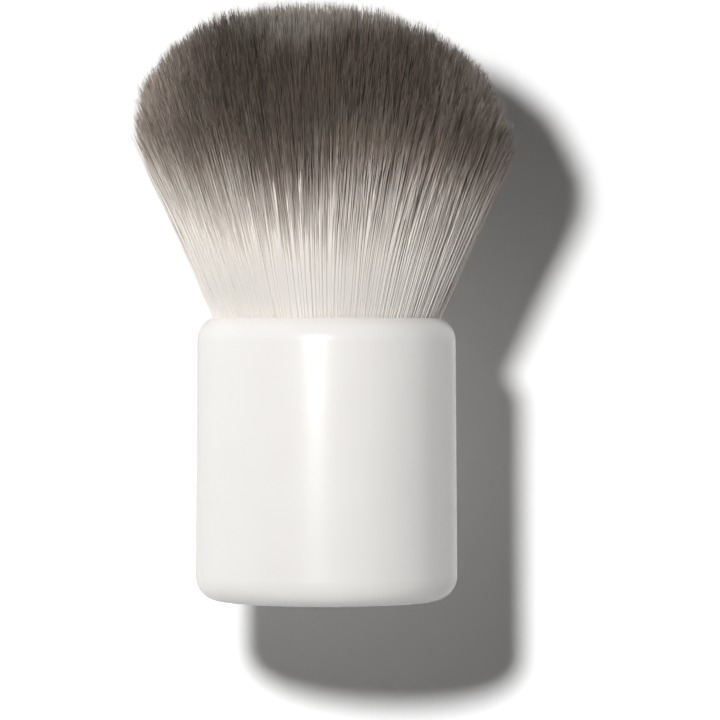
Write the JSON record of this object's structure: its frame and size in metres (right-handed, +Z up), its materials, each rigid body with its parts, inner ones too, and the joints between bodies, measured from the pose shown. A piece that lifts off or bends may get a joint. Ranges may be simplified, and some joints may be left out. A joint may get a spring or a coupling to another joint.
{
  "type": "kabuki makeup brush",
  "caption": "Short kabuki powder brush: gloss white barrel handle that stands on its flat foot, with a wide dome of two-tone fibres, ivory below and grey-brown above.",
  "frame": {"origin": "centre of the flat foot, on the handle's axis, where the brush stands on a table", "axes": "+Z up the handle through the fibres; +X to the right in the picture, the lower side of the dome; +Y away from the picture's camera"},
  "size_m": [0.0479, 0.0478, 0.0755],
  "materials": {
    "white_plastic": "injection-moulded white ABS with a clear gloss",
    "inner_plastic": "moulded natural ABS, unseen inside",
    "steel": "turned mild steel slug",
    "foam": "closed-cell foam pad",
    "aluminium": "deep-drawn, left bright",
    "glue": "cast epoxy",
    "thread": "twisted polyester thread",
    "fibre": "drawn polyester fibre, ivory at the root and grey-brown at the tip"
  },
  "bodies": {
    "root": {"handle_shell": "white_plastic", "base_cap": "white_plastic", "base_weight": "steel", "weight_pad": "foam", "inner_carrier": "inner_plastic", "ferrule": "aluminium", "glue_plug": "glue", "root_binding": "thread", "hair_tuft": "fibre"}
  },
  "joints": []
}
